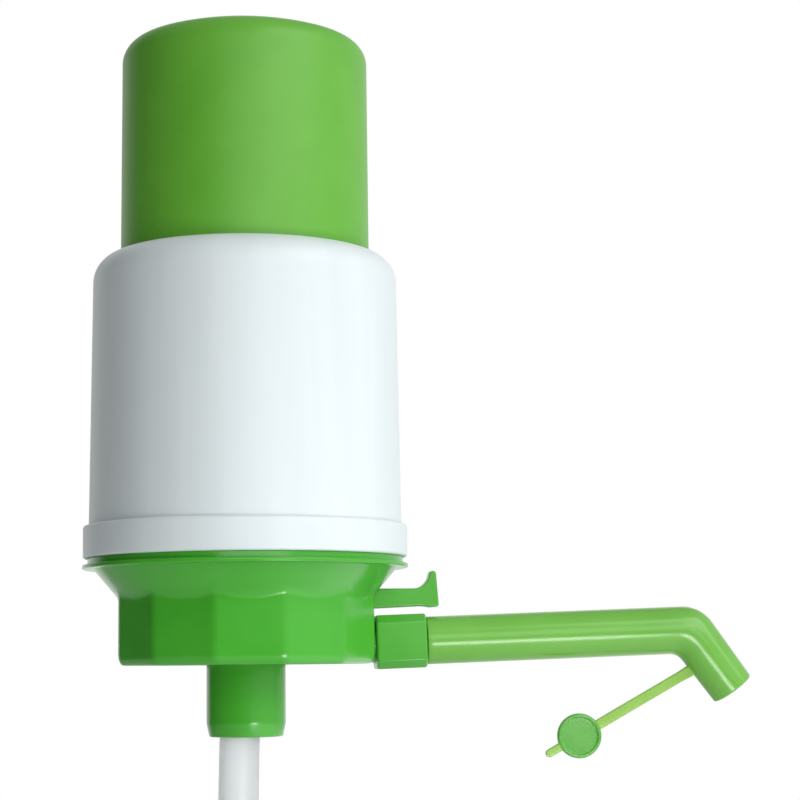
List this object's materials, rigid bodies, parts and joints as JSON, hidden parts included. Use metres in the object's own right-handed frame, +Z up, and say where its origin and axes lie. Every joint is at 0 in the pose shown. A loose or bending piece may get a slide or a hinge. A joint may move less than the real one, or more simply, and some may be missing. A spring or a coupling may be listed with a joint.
{
  "type": "water jug hand pump",
  "caption": "Hand press pump for a large water jug: push cap over a bellows, white cover, collar for the jug's neck, release lever, swivelling spout with dust cap, dip tube.",
  "frame": {"origin": "centre of the neck seal's underside, where the rim of the jug's neck meets the pump", "axes": "+Z up the pump's axis towards the push cap, +X along the spout (seen from above), +Y to its left"},
  "size_m": [0.179, 0.0864, 0.6297],
  "materials": {
    "green_plastic": "satin injection-moulded polypropylene, grass green",
    "white_plastic": "satin injection-moulded ABS, cool white",
    "strap_plastic": "soft polyethylene, light green",
    "tube_plastic": "milky translucent polypropylene",
    "inner_plastic": "natural unpigmented polypropylene",
    "bellows_plastic": "soft blow-moulded polyethylene",
    "seal_rubber": "food-grade silicone rubber",
    "stainless_steel": "plain stainless steel"
  },
  "bodies": {
    "base": {"base_body": "green_plastic", "neck_seal": "seal_rubber", "neck_grip": "inner_plastic", "air_gasket": "seal_rubber", "valve_plate": "inner_plastic", "plate_screws": "stainless_steel", "outlet_valve_rivet": "inner_plastic", "bellows": "bellows_plastic", "return_spring": "stainless_steel", "outer_cover": "white_plastic", "spout_block": "green_plastic", "inlet_seal": "seal_rubber", "lever_pin": "stainless_steel", "release_valve_spring": "stainless_steel", "tube_spigot": "inner_plastic", "dip_tube_upper": "tube_plastic", "tube_coupler_upper": "tube_plastic", "dip_tube_middle": "tube_plastic", "tube_coupler_lower": "tube_plastic", "dip_tube_lower": "tube_plastic"},
    "cap": {"push_cap": "green_plastic", "bellows_plate": "inner_plastic", "cap_screws": "stainless_steel", "inlet_valve_rivet": "inner_plastic"},
    "inlet_valve": {"inlet_valve_disc": "seal_rubber"},
    "outlet_valve": {"outlet_valve_disc": "seal_rubber"},
    "lever": {"release_lever": "green_plastic", "release_valve_stem": "inner_plastic", "release_valve_seal": "seal_rubber"},
    "spout": {"spout_tube": "green_plastic", "spout_seal": "seal_rubber"},
    "cap_on_strap": {"dust_cap": "strap_plastic", "dust_cap_strap": "strap_plastic"}
  },
  "joints": [
    {"name": "cap_press", "type": "slide", "parent": "base", "child": "cap", "axis": [0, 0, -1], "range_m": [0, 0.05], "stiffness_N_per_m": 470, "springref_m": -0.03, "deforming": ["bellows", "return_spring"]},
    {"name": "inlet_valve_open", "type": "slide", "parent": "cap", "child": "inlet_valve", "axis": [0, 0, -1], "range_m": [0, 0.0012], "stiffness_N_per_m": 20, "springref_m": -0.001},
    {"name": "outlet_valve_open", "type": "slide", "parent": "base", "child": "outlet_valve", "axis": [0, 0, -1], "range_m": [0, 0.0012], "stiffness_N_per_m": 20, "springref_m": -0.001},
    {"name": "lever_press", "type": "hinge", "parent": "base", "child": "lever", "pos_m": [0.0306, 0, 0.007], "axis": [0, 1, 0], "range_deg": [0, 3.5], "stiffness_Nm_per_rad": 0.3, "springref_deg": -8.42, "deforming": ["release_valve_spring"]},
    {"name": "spout_swivel", "type": "hinge", "parent": "base", "child": "spout", "pos_m": [0.0409, 0, -0.00525], "axis": [0.9995, 0, 0.0314], "range_deg": [-90, 90]},
    {"name": "dust_cap_swing", "type": "hinge", "parent": "spout", "child": "cap_on_strap", "pos_m": [0.11819, 0, -0.01458], "axis": [0, 1, 0], "range_deg": [-60, 18], "stiffness_Nm_per_rad": 0.01}
  ]
}
